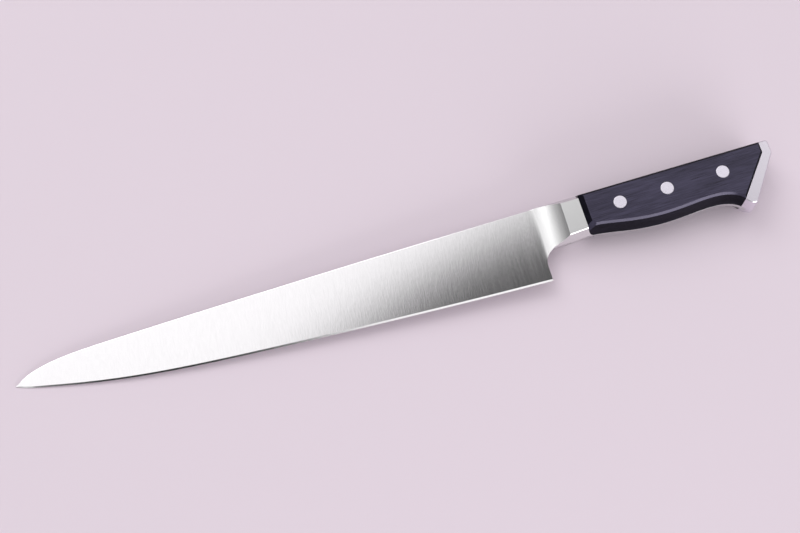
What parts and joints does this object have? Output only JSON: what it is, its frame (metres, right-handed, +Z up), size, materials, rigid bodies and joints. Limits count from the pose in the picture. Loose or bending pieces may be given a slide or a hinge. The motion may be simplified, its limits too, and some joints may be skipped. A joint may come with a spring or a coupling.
{
  "type": "carving knife",
  "caption": "Carving knife with a long satin steel blade, a full tang, a polished bolster and end cap, and black riveted laminated wood scales.",
  "frame": {"origin": "middle of the knife's bottom as it lies on its side: half way between tip and butt, half way between edge and spine, on the plane of the lower handle cheek", "axes": "+X along the knife from the tip to the butt, +Y across the knife from the cutting edge to the spine, +Z up through the handle's thickness"},
  "size_m": [0.3942, 0.0384, 0.019],
  "materials": {
    "blade_steel": "satin ground stainless steel, fine lines across the blade",
    "polished_steel": "polished stainless steel",
    "rivet_metal": "polished rivet heads, flush with the scales",
    "handle_wood": "black resin-laminated wood, satin, with fine lengthwise streaks"
  },
  "bodies": {
    "root": {"blade_and_tang": "blade_steel", "bolster_upper": "polished_steel", "bolster_lower": "polished_steel", "handle_scale_upper": "handle_wood", "handle_scale_lower": "handle_wood", "end_cap": "polished_steel", "rivet_stud_front": "rivet_metal", "rivet_stud_middle": "rivet_metal", "rivet_stud_rear": "rivet_metal", "rivet_tube_front": "rivet_metal", "rivet_tube_middle": "rivet_metal", "rivet_tube_rear": "rivet_metal"}
  },
  "joints": []
}
